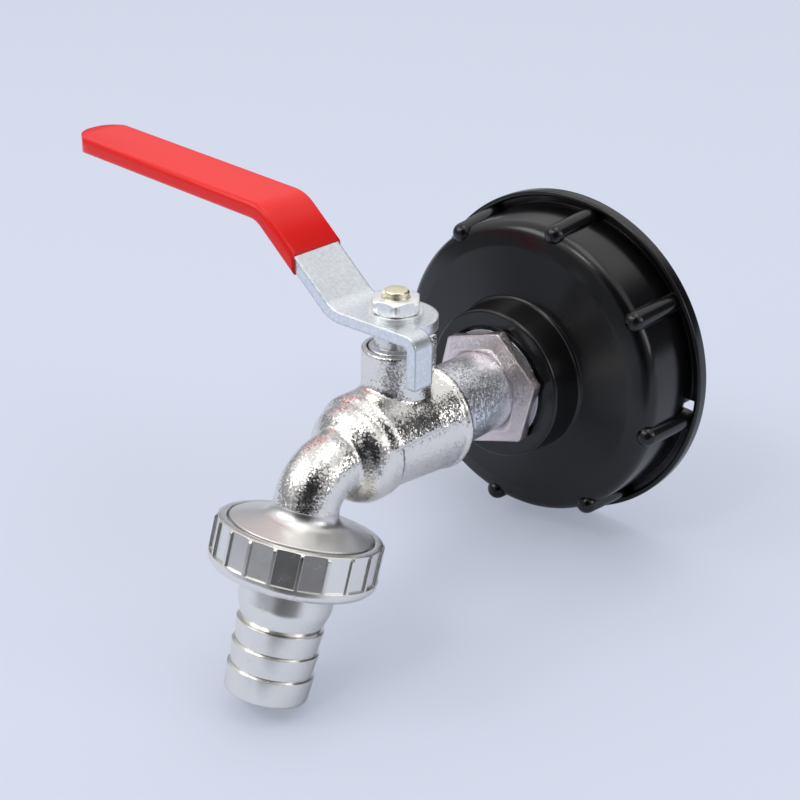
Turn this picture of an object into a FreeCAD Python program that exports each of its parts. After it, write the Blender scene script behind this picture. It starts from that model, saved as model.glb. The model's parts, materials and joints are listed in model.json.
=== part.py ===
import FreeCAD, Part
import math
import os

# Outlet tap for a bulk liquid container, with its tank coupling cap and hose tail.
# Millimetres. The origin is the centre of the cap's open rim. +X points into the tank,
# +Z runs up the stem, and the closed lever points along +Y.

# Clearances
THREAD_GAP = 0.05
RUNNING_GAP = 0.05
LOOSE_GAP = 0.3

# Coupling cap: depths are counted from the open rim, back towards the tap
CAP_DEPTH = 29.0
CAP_WALL = 7.6
WALL_DRAFT = 0.8
SHOULDER_DEPTH = 17.0
SHOULDER_ROUND = 3.4
CREASE_DEPTH = 18.6
CREASE_STEP = 6.3
CREASE_ROUND = 2.5
HUB_BASE_DEPTH = 20.3
HUB_BASE_R = 18.9
HUB_DRAFT = 0.6
HUB_BORE_R = 16.2
HUB_FRONT_WALL = 3.0
TANK_THREAD_R = 30.0
TANK_THREAD_LENGTH = 13.0
THREAD_RELIEF = 0.8
RING_REACH = 3.4
RING_THICKNESS = 1.3
RING_WIDTH = 3.2
RING_WEB = 1.0
RIB_COUNT = 8
RIB_FIRST_ANGLE = -10.0
RIB_BAR_R = 2.5
RIB_PROUD = 1.7
RIB_RISE = 1.2
WINDOW_RIBS = (0, 4)
WINDOW_ANGLE = 5.2
WINDOW_WIDTH = 3.0
WINDOW_DEPTH = 3.9
WINDOW_BITE = 2.0

# Rings, washer and nut that clamp the hexagon bushing in the cap
TANK_GASKET_WIDTH = 7.7
TANK_GASKET_THICKNESS = 3.0
CAP_WASHER_R = 13.8
CAP_WASHER_THICKNESS = 1.4
CAP_WASHER_RECESS = 0.6
NIPPLE_GASKET_THICKNESS = 1.5
LOCKNUT_FLATS = 26.0
LOCKNUT_THICKNESS = 4.5

# Hexagon bushing
BUSHING_FLATS = 26.2
BUSHING_HEX_THICKNESS = 2.7
BUSHING_CROWN = 1.4
BUSHING_ANGLE = 17.8
SPIGOT_R = 12.2
SPIGOT_LENGTH = 11.8
SOCKET_LENGTH = 11.9
BUSHING_BORE_R = 7.5

# Inlet connector, the plain neck between the hexagon and the tap body
NECK_R = 9.66
NECK_LENGTH = 18.0
NECK_BORE_R = 6.5
NECK_THREAD_DEPTH = 0.26
NECK_THREAD_LENGTH = 11.4

# Ball and seats
BALL_R = 8.2
BALL_BORE_R = 5.0
SEAT_WIDTH = 3.0
SEAT_BORE_R = 5.3
CAVITY_GAP = 0.75
SLOT_DEPTH = 2.4
TANG_THICKNESS = 2.4
TANG_WIDTH = 6.4

# Tap body: lengths are counted from the ball centre
BODY_THREAD_LENGTH = 4.9
BODY_THREAD_STEP = 1.25
REAR_WALL = 2.5
BARREL_WALL = 1.5
WAIST = 8.4
BULGE_START = 9.4
BULGE_END = 15.2
BULGE_STEP = 0.95
BULGE_ROUND = 5.5
PAD_STEP = 2.25
PAD_FRONT = 11.0
PAD_REAR = 2.7
PAD_FRONT_SLOPE = 2.4
PAD_EDGE_HEIGHT = 4.3
BOSS_TOP = 21.3
CUP_GAP = 0.25
CUP_WALL = 1.2
CUP_DEPTH = 2.5
STOP_STEP = 4.6
STOP_WIDTH = 4.0
STOP_TOP = 20.8

# Spout
TUBE_R = 7.2
TUBE_START = 18.4
SPOUT_REACH = 25.7
SPOUT_TILT = 17.8
BEND_R = 9.0
PASSAGE_R = 5.0
FLARE_START = 3.0
FLARE_RISE = 2.3
FLARE_STEP = 0.2
FLARE_ROUND = 3.2
SPOUT_THREAD_R = 16.0
SPOUT_THREAD_START = 5.9
SPOUT_END = 10.4

# Stem, its seals and the gland nut
STEM_R = 3.9
COLLAR_STEP = 1.5
COLLAR_THICKNESS = 1.5
COLLAR_CLEARANCE = 1.1
STEM_WASHER_THICKNESS = 0.8
NECK_LAND = 1.6
PACKING_WIDTH = 1.1
PACKING_RING_THICKNESS = 1.0
PACKING_RINGS = 2
GLAND_LIP = 0.15
GLAND_TOP = 25.3
STEM_SHOULDER = 26.1
STEM_TOP = 34.3
STEM_FLAT_DEPTH = 1.0
STEM_THREAD_DEPTH = 0.9

# Lever and its grip
LEVER_THICKNESS = 2.5
ARM_LEFT = 8.0
ARM_RIGHT = 6.0
HEAD_R = 9.2
RISE_START = 11.3
RISE_RUN = 21.4
RISE_HEIGHT = 18.1
RISE_ROUND = 6.0
HANDLE_SLOPE = 3.0
LEVER_TIP = 96.2
TIP_ROUND = 6.5
TAB_WIDTH = 5.6
TAB_REACH = 12.5
TAB_BOTTOM = 16.8
TAB_ROUND = 3.6
GRIP_THICKNESS = 0.75
GRIP_START = 22.4
GRIP_EDGE_ROUND = 1.3
LEVER_WASHER_WIDTH = 2.9
LEVER_WASHER_THICKNESS = 1.0
LEVER_NUT_WALL = 2.0
LEVER_NUT_THICKNESS = 3.2
LEVER_NUT_ANGLE = 40.2

# Union nut, hose tail and their washer: lengths are counted along the spout from its bend
NUT_TOP = 5.5
NUT_WALL = 2.35
NUT_TOP_ROUND = 2.2
NUT_LENGTH = 10.4
NUT_FLOOR = 1.7
NUT_CHAMFER = 1.1
NUT_FLATS = 20
NUT_FLAT_WIDTH = 4.5
NUT_FLAT_DEPTH = 1.0
NUT_LIP = 2.7
NUT_FIRST_ANGLE = 7.5
TAIL_WASHER_THICKNESS = 2.0
TAIL_FLANGE_GAP = 0.85
TAIL_BORE_R = 7.2
TAIL_COLLAR_WALL = 3.1
TAIL_COLLAR_LENGTH = 6.5
TAIL_COLLAR_ROUND = 4.0
TAIL_WAIST_WALL = 1.6
BARB_ROOT_WALL = 1.8
BARB_HEIGHT = 0.65
BARB_START = 26.8
BARB_PITCH = 5.2
BARB_COUNT = 3
BARB_EDGE = 0.15
TAIL_END = 43.3
TAIL_END_WALL = 2.0
TAIL_END_ROUND = 0.9

# Places that follow from the sizes above
CAP_WALL_R = TANK_THREAD_R + CAP_WALL
CREASE_R = CAP_WALL_R - CREASE_STEP
RING_R = CAP_WALL_R + RING_REACH
TANK_GASKET_R = TANK_THREAD_R - LOOSE_GAP
HUB_R = HUB_BASE_R - HUB_DRAFT
CAP_FLOOR = -TANK_THREAD_LENGTH - TANK_GASKET_THICKNESS
HEX_BACK = -CAP_DEPTH + CAP_WASHER_RECESS - CAP_WASHER_THICKNESS
HEX_FRONT = HEX_BACK - BUSHING_HEX_THICKNESS
CROWN_FRONT = HEX_FRONT - BUSHING_CROWN
CENTRE_HOLE_R = SPIGOT_R + 0.2
NECK_THREAD_R = NECK_R - NECK_THREAD_DEPTH
SEAT_BACK = BALL_R
BODY_REAR = SEAT_BACK + BODY_THREAD_LENGTH
BALL_X = CROWN_FRONT - NECK_LENGTH - BODY_REAR
CAVITY_R = BALL_R + CAVITY_GAP
BODY_THREAD_R = CAVITY_R + BODY_THREAD_STEP
BODY_REAR_R = BODY_THREAD_R + REAR_WALL
WAIST_R = CAVITY_R + BARREL_WALL
BULGE_R = WAIST_R + BULGE_STEP
PAD_R = WAIST_R + PAD_STEP
COLLAR_R = STEM_R + COLLAR_STEP
PACKING_R = STEM_R + PACKING_WIDTH
GLAND_FLATS = 2 * (PACKING_R + GLAND_LIP)
CUP_R = GLAND_FLATS / math.sqrt(3) + CUP_GAP
BOSS_R = CUP_R + CUP_WALL
STOP_REACH = BOSS_R + STOP_STEP
STEM_FLAT = STEM_R - STEM_FLAT_DEPTH
STEM_THREAD_R = STEM_R - STEM_THREAD_DEPTH
STEM_SEAT = BALL_R + COLLAR_CLEARANCE
WASHER_SEAT = STEM_SEAT + COLLAR_THICKNESS + RUNNING_GAP + STEM_WASHER_THICKNESS
PACKING_SEAT = WASHER_SEAT + NECK_LAND
PACKING_TOP = PACKING_SEAT + PACKING_RINGS * PACKING_RING_THICKNESS
STEM_HOLE_R = STEM_R + RUNNING_GAP
LEVER_TOP = STEM_SHOULDER + LEVER_THICKNESS
RISE_ANGLE = math.degrees(math.atan2(RISE_HEIGHT, RISE_RUN))
BEND_TANGENT = BEND_R * math.tan(math.radians(90 - SPOUT_TILT) / 2)
BEND_START = SPOUT_REACH - BEND_TANGENT
BEND_END_X = BALL_X - SPOUT_REACH - BEND_TANGENT * math.sin(math.radians(SPOUT_TILT))
BEND_END_Z = -BEND_TANGENT * math.cos(math.radians(SPOUT_TILT))
FLARE_R = SPOUT_THREAD_R - FLARE_STEP
LEVER_WASHER_R = STEM_THREAD_R + LEVER_WASHER_WIDTH
LEVER_NUT_FLATS = 2 * (STEM_THREAD_R + LEVER_NUT_WALL)
NUT_BORE_R = SPOUT_THREAD_R + RUNNING_GAP
NUT_R = NUT_BORE_R + NUT_WALL
TAIL_FLANGE_R = NUT_BORE_R - TAIL_FLANGE_GAP
TAIL_COLLAR_R = TAIL_BORE_R + TAIL_COLLAR_WALL
TAIL_WAIST_R = TAIL_BORE_R + TAIL_WAIST_WALL
BARB_ROOT_R = TAIL_BORE_R + BARB_ROOT_WALL
BARB_R = BARB_ROOT_R + BARB_HEIGHT
TAIL_END_R = TAIL_BORE_R + TAIL_END_WALL
NUT_BOTTOM = NUT_TOP + NUT_LENGTH
NUT_SHELF = NUT_BOTTOM - NUT_FLOOR
TAIL_TOP = SPOUT_END + TAIL_WASHER_THICKNESS
FLANGE_BOTTOM = NUT_SHELF - RUNNING_GAP

X_AXIS = FreeCAD.Vector(1, 0, 0)
Y_AXIS = FreeCAD.Vector(0, 1, 0)
Z_AXIS = FreeCAD.Vector(0, 0, 1)
CENTRE = FreeCAD.Vector(0, 0, 0)


def rounded_corner(before, corner, after, radius):
    """Tangent points and middle of the arc that rounds a corner."""
    back = (before - corner).normalize()
    ahead = (after - corner).normalize()
    half_angle = back.getAngle(ahead) / 2
    reach = radius / math.tan(half_angle)
    middle_line = (back + ahead).normalize()
    centre = corner + middle_line * (radius / math.sin(half_angle))
    return corner + back * reach, centre - middle_line * radius, corner + ahead * reach


def outline(*corners):
    """Closed flat face from (u, v) or (u, v, rounding radius) corners."""
    points = [FreeCAD.Vector(corner[0], corner[1], 0) for corner in corners]
    ends = []
    edges = []
    for i, corner in enumerate(corners):
        if len(corner) == 3:
            after = points[(i + 1) % len(points)]
            start, middle, end = rounded_corner(points[i - 1], points[i], after, corner[2])
            edges.append(Part.Arc(start, middle, end).toShape())
            ends.append((start, end))
        else:
            ends.append((points[i], points[i]))
    for i, (start, end) in enumerate(ends):
        following = ends[(i + 1) % len(ends)][0]
        edges.append(Part.makeLine(end, following))
    return Part.Face(Part.Wire(Part.__sortEdges__(edges)))


def turned(*corners):
    """Solid of revolution round the X axis from (x, radius) corners."""
    return outline(*corners).revolve(CENTRE, X_AXIS, 360)


def tube(start, end, outer_r, inner_r):
    return turned((start, inner_r), (start, outer_r), (end, outer_r), (end, inner_r))


def rod(start, end, radius):
    return Part.makeCylinder(radius, end - start, FreeCAD.Vector(start, 0, 0), X_AXIS)


def hexagon(start, end, across_flats):
    """Hexagon prism along X with one corner towards -Y."""
    corner_r = across_flats / math.sqrt(3)
    points = []
    for i in range(7):
        angle = math.radians(60 * i)
        points.append(FreeCAD.Vector(start, -corner_r * math.cos(angle), corner_r * math.sin(angle)))
    return Part.Face(Part.makePolygon(points)).extrude(FreeCAD.Vector(end - start, 0, 0))


def hexagon_nut(start, end, across_flats, bore_r, chamfer_start=True, chamfer_end=True):
    """Hexagon with its corners turned off at 30 degrees, and a plain bore."""
    corner_r = across_flats / math.sqrt(3) + 0.02
    face_r = across_flats / 2 * 0.97
    drop = (corner_r - face_r) * math.tan(math.radians(30))
    blank = turned(
        (start, bore_r),
        (start, face_r if chamfer_start else corner_r),
        (start + (drop if chamfer_start else 0.001), corner_r),
        (end - (drop if chamfer_end else 0.001), corner_r),
        (end, face_r if chamfer_end else corner_r),
        (end, bore_r),
    )
    return hexagon(start, end, across_flats).common(blank)


def turned_up(shape, angle):
    """Turn about X, from the -Y side towards +Z."""
    return shape.rotated(CENTRE, X_AXIS, -angle)


def at_ball(shape):
    """From the valve's own X, counted from the ball centre, to its place."""
    return shape.translated(FreeCAD.Vector(BALL_X, 0, 0))


def on_stem(shape):
    """From a shape made along X to the same shape up the stem axis."""
    return at_ball(shape.rotated(CENTRE, Y_AXIS, -90))


def on_spout(shape):
    """From a shape made along X to the same shape down the spout axis."""
    swung = shape.rotated(CENTRE, Y_AXIS, 90 + SPOUT_TILT)
    return swung.translated(FreeCAD.Vector(BEND_END_X, 0, BEND_END_Z))


# Coupling cap and what is clamped in it

def cap_shell():
    wall_front_r = CAP_WALL_R - WALL_DRAFT
    recess_r = CAP_WASHER_R + LOOSE_GAP * 2
    recess_floor = -CAP_DEPTH + CAP_WASHER_RECESS
    hub_floor = recess_floor + HUB_FRONT_WALL
    relief_r = TANK_THREAD_R + THREAD_RELIEF
    return turned(
        (0, TANK_THREAD_R),
        (0, CAP_WALL_R),
        (-SHOULDER_DEPTH, wall_front_r, SHOULDER_ROUND),
        (-CREASE_DEPTH, CREASE_R, CREASE_ROUND),
        (-HUB_BASE_DEPTH, HUB_BASE_R, 0.8),
        (-CAP_DEPTH, HUB_R, 0.7),
        (-CAP_DEPTH, recess_r),
        (recess_floor, recess_r),
        (recess_floor, CENTRE_HOLE_R),
        (hub_floor, CENTRE_HOLE_R),
        (hub_floor, HUB_BORE_R),
        (CAP_FLOOR, HUB_BORE_R),
        (CAP_FLOOR, relief_r),
        (-TANK_THREAD_LENGTH, relief_r),
        (-TANK_THREAD_LENGTH, TANK_THREAD_R),
    )


def cap_ring():
    """Thin hoop round the rim, joined to the wall by a web at the rim face."""
    inner_r = RING_R - RING_THICKNESS
    root_r = CAP_WALL_R - RING_WEB
    return turned(
        (0, root_r),
        (0, RING_R, 0.4),
        (-RING_WIDTH, RING_R, 0.5),
        (-RING_WIDTH, inner_r),
        (-RING_WEB, inner_r),
        (-RING_WEB, root_r),
    )


def grip_rib():
    """Half-round bar on the wall with a domed tip, rising into the hoop."""
    tip_r = CAP_WALL_R - WALL_DRAFT + RIB_PROUD - RIB_BAR_R
    tip = FreeCAD.Vector(-CREASE_DEPTH + RIB_BAR_R, -tip_r, 0)
    base = FreeCAD.Vector(-RING_WEB, -tip_r - RIB_RISE, 0)
    bar = Part.makeCylinder(RIB_BAR_R, (base - tip).Length, tip, base - tip)
    return bar.fuse(Part.makeSphere(RIB_BAR_R, tip))


def rib_window():
    """Opening through the web beside a rib, left by the moulding tool."""
    inner_r = CAP_WALL_R - WINDOW_BITE
    outer_r = RING_R - RING_THICKNESS
    corner = FreeCAD.Vector(-WINDOW_DEPTH, -outer_r, -WINDOW_WIDTH / 2)
    block = Part.makeBox(WINDOW_DEPTH + 1, outer_r - inner_r, WINDOW_WIDTH, corner)
    return turned_up(block, WINDOW_ANGLE)


def coupling_cap():
    cap = cap_shell().fuse(cap_ring())
    ribs = []
    windows = []
    for i in range(RIB_COUNT):
        angle = RIB_FIRST_ANGLE + i * 360 / RIB_COUNT
        ribs.append(turned_up(grip_rib(), angle))
        if i in WINDOW_RIBS:
            windows.append(turned_up(rib_window(), angle))
    return cap.fuse(ribs).cut(windows)


def tank_gasket():
    """Flat ring on the cap's floor, at the bottom of the tank thread."""
    return tube(CAP_FLOOR, -TANK_THREAD_LENGTH, TANK_GASKET_R, TANK_GASKET_R - TANK_GASKET_WIDTH)


def cap_washer():
    return tube(HEX_BACK, HEX_BACK + CAP_WASHER_THICKNESS, CAP_WASHER_R, SPIGOT_R + 0.1)


def nipple_gasket():
    seat = HEX_BACK + CAP_WASHER_THICKNESS + HUB_FRONT_WALL
    return tube(seat, seat + NIPPLE_GASKET_THICKNESS, HUB_BORE_R - 0.6, SPIGOT_R)


def nipple_locknut():
    seat = HEX_BACK + CAP_WASHER_THICKNESS + HUB_FRONT_WALL + NIPPLE_GASKET_THICKNESS
    return hexagon_nut(seat, seat + LOCKNUT_THICKNESS, LOCKNUT_FLATS, SPIGOT_R + THREAD_GAP)


def hex_bushing():
    """Cast hexagon with a low six-sided crown, and the threaded spigot behind it."""
    plate = hexagon(HEX_FRONT, HEX_BACK, BUSHING_FLATS)
    crown_flats = 2 * (NECK_R + 0.5)
    wires = [
        hexagon(HEX_FRONT, HEX_BACK, BUSHING_FLATS - 0.6).Faces[-2].OuterWire,
        hexagon(CROWN_FRONT, HEX_BACK, crown_flats).Faces[-2].OuterWire,
    ]
    crown = Part.makeLoft(wires, True)
    spigot = rod(HEX_BACK, HEX_BACK + SPIGOT_LENGTH, SPIGOT_R)
    blank = turned_up(plate.fuse(crown), BUSHING_ANGLE).fuse(spigot)
    socket = rod(CROWN_FRONT, CROWN_FRONT + SOCKET_LENGTH, NECK_THREAD_R + THREAD_GAP)
    mouth = rod(CROWN_FRONT, CROWN_FRONT + BUSHING_CROWN / 2, NECK_R + THREAD_GAP)
    through = rod(CROWN_FRONT, HEX_BACK + SPIGOT_LENGTH, BUSHING_BORE_R)
    return blank.cut([socket, mouth, through])


def inlet_connector():
    """Neck screwed into the body, where its end holds the inlet seat, and into the hexagon."""
    rear_face = SEAT_BACK
    neck_start = BODY_REAR
    neck_end = BODY_REAR + NECK_LENGTH
    return at_ball(turned(
        (rear_face, SEAT_BORE_R),
        (rear_face, BODY_THREAD_R - THREAD_GAP),
        (neck_start, BODY_THREAD_R - THREAD_GAP),
        (neck_start, NECK_R),
        (neck_end + BUSHING_CROWN / 2, NECK_R),
        (neck_end + BUSHING_CROWN / 2, NECK_THREAD_R),
        (neck_end + NECK_THREAD_LENGTH, NECK_THREAD_R),
        (neck_end + NECK_THREAD_LENGTH, NECK_BORE_R),
        (rear_face + 3, NECK_BORE_R),
        (rear_face + 1.5, SEAT_BORE_R),
    ))


# Ball, seats and stem

def ball():
    bored = Part.makeSphere(BALL_R).cut(
        Part.makeCylinder(BALL_BORE_R, 2 * BALL_R, FreeCAD.Vector(0, -BALL_R, 0), Y_AXIS))
    slot_width = TANG_THICKNESS + 4 * RUNNING_GAP
    corner = FreeCAD.Vector(-BALL_R, -slot_width / 2, BALL_R - SLOT_DEPTH)
    slot = Part.makeBox(2 * BALL_R, slot_width, SLOT_DEPTH + 1, corner)
    return at_ball(bored.cut(slot))


def seat(side):
    """Ring with a spherical face against the ball, on the inlet (+1) or outlet (-1) side."""
    ring = tube(SEAT_BACK - SEAT_WIDTH, SEAT_BACK, CAVITY_R - RUNNING_GAP, SEAT_BORE_R)
    face = Part.makeSphere(BALL_R + RUNNING_GAP)
    ring = ring.cut(face)
    if side < 0:
        ring = ring.rotated(CENTRE, Z_AXIS, 180)
    return at_ball(ring)


def stem_washer():
    seat_face = STEM_SEAT + COLLAR_THICKNESS + RUNNING_GAP
    return on_stem(tube(seat_face, WASHER_SEAT, COLLAR_R, STEM_HOLE_R))


def stem_packing():
    rings = []
    for i in range(PACKING_RINGS):
        start = PACKING_SEAT + i * PACKING_RING_THICKNESS
        rings.append(on_stem(tube(start, start + PACKING_RING_THICKNESS - 0.05, PACKING_R, STEM_HOLE_R)))
    return Part.makeCompound(rings)


def gland_nut():
    hex_start = BOSS_TOP - CUP_DEPTH + LOOSE_GAP
    thread = tube(PACKING_TOP, hex_start, PACKING_R - THREAD_GAP, STEM_HOLE_R)
    head = hexagon_nut(hex_start, GLAND_TOP, GLAND_FLATS, STEM_HOLE_R, chamfer_start=False)
    return on_stem(thread.fuse(head.rotated(CENTRE, X_AXIS, 10)))


def flatted_rod(start, end, radius, half_width):
    """Stretch of round shaft with two flats."""
    corner = FreeCAD.Vector(start, -half_width, -radius)
    return rod(start, end, radius).common(Part.makeBox(end - start, 2 * half_width, 2 * radius, corner))


def stem():
    """Spindle: tang in the ball, collar, shaft, flats that carry the lever, threaded end."""
    tang = Part.makeBox(
        STEM_SEAT - BALL_R + SLOT_DEPTH - LOOSE_GAP, TANG_THICKNESS, TANG_WIDTH,
        FreeCAD.Vector(BALL_R - SLOT_DEPTH + LOOSE_GAP, -TANG_THICKNESS / 2, -TANG_WIDTH / 2))
    collar = rod(STEM_SEAT, STEM_SEAT + COLLAR_THICKNESS, COLLAR_R)
    shaft = rod(STEM_SEAT, STEM_SHOULDER, STEM_R)
    flats_end = LEVER_TOP - LOOSE_GAP
    flats = flatted_rod(STEM_SHOULDER, flats_end, STEM_R, STEM_FLAT)
    thread = turned(
        (flats_end, 0),
        (flats_end, STEM_THREAD_R),
        (STEM_TOP - 0.5, STEM_THREAD_R),
        (STEM_TOP, STEM_THREAD_R - 0.5),
        (STEM_TOP, 0),
    )
    return on_stem(shaft.fuse([tang, collar, flats, thread]))


# Tap body and spout

def body_barrel():
    """Tapered barrel with the rounded bulge where it closes down to the spout tube."""
    return turned(
        (BODY_REAR, 0),
        (BODY_REAR, BODY_REAR_R, 0.35),
        (-WAIST, WAIST_R, 0.4),
        (-BULGE_START, BULGE_R, 0.5),
        (-BULGE_END, BULGE_R, BULGE_ROUND),
        (-TUBE_START, TUBE_R, 1.3),
        (-BEND_START, TUBE_R),
        (-BEND_START, 0),
    )


def boss_pad():
    """Raised saddle over the top of the barrel, which carries the stem boss."""
    saddle = turned(
        (PAD_REAR, 0),
        (PAD_REAR, PAD_R, 0.4),
        (-PAD_FRONT, PAD_R, 3.0),
        (-PAD_FRONT - PAD_FRONT_SLOPE, BULGE_R - 0.4),
        (-PAD_FRONT - PAD_FRONT_SLOPE, 0),
    )
    length = PAD_REAR + PAD_FRONT + PAD_FRONT_SLOPE
    corner = FreeCAD.Vector(-PAD_FRONT - PAD_FRONT_SLOPE, -PAD_R, PAD_EDGE_HEIGHT)
    return saddle.common(Part.makeBox(length, 2 * PAD_R, PAD_R, corner))


def stem_boss():
    return turned(
        (PAD_EDGE_HEIGHT, 0),
        (PAD_EDGE_HEIGHT, BOSS_R),
        (BOSS_TOP, BOSS_R, 0.3),
        (BOSS_TOP, 0),
    ).rotated(CENTRE, Y_AXIS, -90)


def lever_stop():
    """Rib on the tank side of the boss that the lever's tab meets when the tap is open."""
    rib = outline(
        (BOSS_R - 2, PAD_EDGE_HEIGHT),
        (STOP_REACH, PAD_EDGE_HEIGHT),
        (STOP_REACH, STOP_TOP, 1.2),
        (BOSS_R - 2, STOP_TOP),
    ).extrude(FreeCAD.Vector(0, 0, STOP_WIDTH))
    return rib.rotated(CENTRE, X_AXIS, 90).translated(FreeCAD.Vector(0, STOP_WIDTH / 2, 0))


def spout_bend(radius):
    """Quarter-like bend of a round bar, from the barrel's end to the spout axis."""
    circle = Part.Wire(Part.makeCircle(radius, FreeCAD.Vector(-BEND_START, 0, 0), X_AXIS))
    pivot = FreeCAD.Vector(-BEND_START, 0, -BEND_R)
    return Part.Face(circle).revolve(pivot, FreeCAD.Vector(0, -1, 0), 90 - SPOUT_TILT)


def spout_end():
    """Short tube that flares into the disc and thread for the union nut."""
    flare_edge = FLARE_START + FLARE_RISE
    return turned(
        (0, 0),
        (0, TUBE_R),
        (FLARE_START, TUBE_R, FLARE_ROUND),
        (FLARE_START + FLARE_RISE / 3, TUBE_R + FLARE_ROUND, FLARE_ROUND),
        (flare_edge, FLARE_R, 0.3),
        (SPOUT_THREAD_START, SPOUT_THREAD_R),
        (SPOUT_END - 0.6, SPOUT_THREAD_R),
        (SPOUT_END, SPOUT_THREAD_R - 0.6),
        (SPOUT_END, 0),
    )


def body_cavity():
    """Everything that is open inside the body: ball chamber, passage and stem bores."""
    chamber = rod(-SEAT_BACK, SEAT_BACK, CAVITY_R)
    rear_bore = rod(SEAT_BACK, BODY_REAR + 1, BODY_THREAD_R)
    passage = rod(-BEND_START, 0, PASSAGE_R)
    collar_bore = rod(0, WASHER_SEAT, COLLAR_R + RUNNING_GAP).rotated(CENTRE, Y_AXIS, -90)
    stem_hole = rod(0, BOSS_TOP, STEM_HOLE_R).rotated(CENTRE, Y_AXIS, -90)
    packing_bore = rod(PACKING_SEAT, BOSS_TOP, PACKING_R).rotated(CENTRE, Y_AXIS, -90)
    cup = rod(BOSS_TOP - CUP_DEPTH, BOSS_TOP + 1, CUP_R).rotated(CENTRE, Y_AXIS, -90)
    return [chamber, rear_bore, passage, collar_bore, stem_hole, packing_bore, cup, spout_bend(PASSAGE_R)]


def valve_body():
    outside = body_barrel().fuse([boss_pad(), stem_boss(), lever_stop(), spout_bend(TUBE_R)])
    body = at_ball(outside.cut(body_cavity()))
    return body.fuse(on_spout(spout_end().cut(rod(0, SPOUT_END, PASSAGE_R)))).removeSplitter()


# Lever, grip and lever fasteners

def side_profile(offset, tip):
    """Bent strip seen from the side: a flat head, a rise and a nearly level handle."""
    top = LEVER_TOP + offset
    bottom = STEM_SHOULDER - offset
    slope = math.tan(math.radians(HANDLE_SLOPE))
    rise = math.radians(RISE_ANGLE)
    lower_shift = math.tan(rise / 2)
    upper_shift = math.tan((rise - math.radians(HANDLE_SLOPE)) / 2)
    knee_y = RISE_START + RISE_RUN
    knee_z = LEVER_TOP + RISE_HEIGHT
    under = LEVER_THICKNESS + offset
    top_low = (RISE_START - offset * lower_shift, top, RISE_ROUND - offset)
    bottom_low = (RISE_START + under * lower_shift, bottom, RISE_ROUND + under)
    top_knee_y = knee_y - offset * math.sin(rise) + offset * math.cos(rise) * upper_shift
    top_knee = (top_knee_y, knee_z + offset * (math.cos(rise) + math.sin(rise) * upper_shift),
                RISE_ROUND + under)
    bottom_knee_y = knee_y + under * math.sin(rise) - under * math.cos(rise) * upper_shift
    bottom_knee = (bottom_knee_y, knee_z - under * (math.cos(rise) + math.sin(rise) * upper_shift),
                   RISE_ROUND - offset)
    top_tip = top_knee[1] + (tip - top_knee_y) * slope
    bottom_tip = bottom_knee[1] + (tip - bottom_knee_y) * slope
    return outline(
        (0, bottom), bottom_low, bottom_knee, (tip, bottom_tip),
        (tip, top_tip), top_knee, top_low, (0, top),
    )


def long_side_edges(strip, left, right):
    """The edges that run along both sides of a strip, without those of its two ends."""
    chosen = []
    for edge in strip.Edges:
        box = edge.BoundBox
        on_side = box.XLength < 0.01 and (abs(box.XMin + left) < 0.01 or abs(box.XMin - right) < 0.01)
        if on_side and box.YLength > 0.5:
            chosen.append(edge)
    return chosen


def bent_strip(offset, start, tip, tip_round, edge_round=0):
    """The side profile given its width, then trimmed to the plan of the arm."""
    left = ARM_LEFT + offset
    right = ARM_RIGHT + offset
    strip = side_profile(offset, tip).extrude(FreeCAD.Vector(0, 0, left + right))
    strip = strip.rotated(CENTRE, FreeCAD.Vector(1, 1, 1), 120).translated(FreeCAD.Vector(-left, 0, 0))
    if edge_round:
        strip = strip.makeFillet(edge_round, long_side_edges(strip, left, right))
    plan = outline(
        (-left, start), (right, start), (right, tip, tip_round), (-left, tip, tip_round))
    high = LEVER_TOP + RISE_HEIGHT + LEVER_TIP
    return strip.common(plan.extrude(FreeCAD.Vector(0, 0, high)))


def lever_head():
    """Round eye for the stem, flush with the arm on one side."""
    disc = Part.makeCylinder(HEAD_R, LEVER_THICKNESS, FreeCAD.Vector(0, 0, STEM_SHOULDER))
    keep = Part.makeBox(
        ARM_LEFT + HEAD_R, 2 * HEAD_R, LEVER_THICKNESS,
        FreeCAD.Vector(-ARM_LEFT, -HEAD_R, STEM_SHOULDER))
    return disc.common(keep)


def stop_tab():
    """Strip bent down from the head, which meets the stop rib when the tap is open."""
    inner = TAB_REACH - LEVER_THICKNESS
    profile = outline(
        (0, STEM_SHOULDER),
        (-inner, STEM_SHOULDER, TAB_ROUND - LEVER_THICKNESS),
        (-inner, TAB_BOTTOM),
        (-TAB_REACH, TAB_BOTTOM),
        (-TAB_REACH, LEVER_TOP, TAB_ROUND),
        (0, LEVER_TOP),
    ).extrude(FreeCAD.Vector(0, 0, TAB_WIDTH))
    strip = profile.rotated(CENTRE, FreeCAD.Vector(1, 1, 1), 120)
    return strip.translated(FreeCAD.Vector(-ARM_LEFT, 0, 0))


def lever():
    arm = bent_strip(0, 0, LEVER_TIP, TIP_ROUND)
    blank = arm.fuse([lever_head(), stop_tab()])
    hole = flatted_rod(STEM_SHOULDER, LEVER_TOP, STEM_R + RUNNING_GAP, STEM_FLAT + RUNNING_GAP)
    return at_ball(blank.cut(hole.rotated(CENTRE, Y_AXIS, -90)).removeSplitter())


def lever_grip():
    """Dipped sleeve of even thickness over the arm, closed at the tip."""
    tip = LEVER_TIP + GRIP_THICKNESS
    sleeve = bent_strip(GRIP_THICKNESS, GRIP_START, tip, TIP_ROUND + GRIP_THICKNESS, GRIP_EDGE_ROUND)
    return at_ball(sleeve.cut(bent_strip(0, 0, LEVER_TIP, TIP_ROUND)))


def lever_washer():
    return on_stem(tube(LEVER_TOP, LEVER_TOP + LEVER_WASHER_THICKNESS, LEVER_WASHER_R, STEM_THREAD_R + 0.2))


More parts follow.
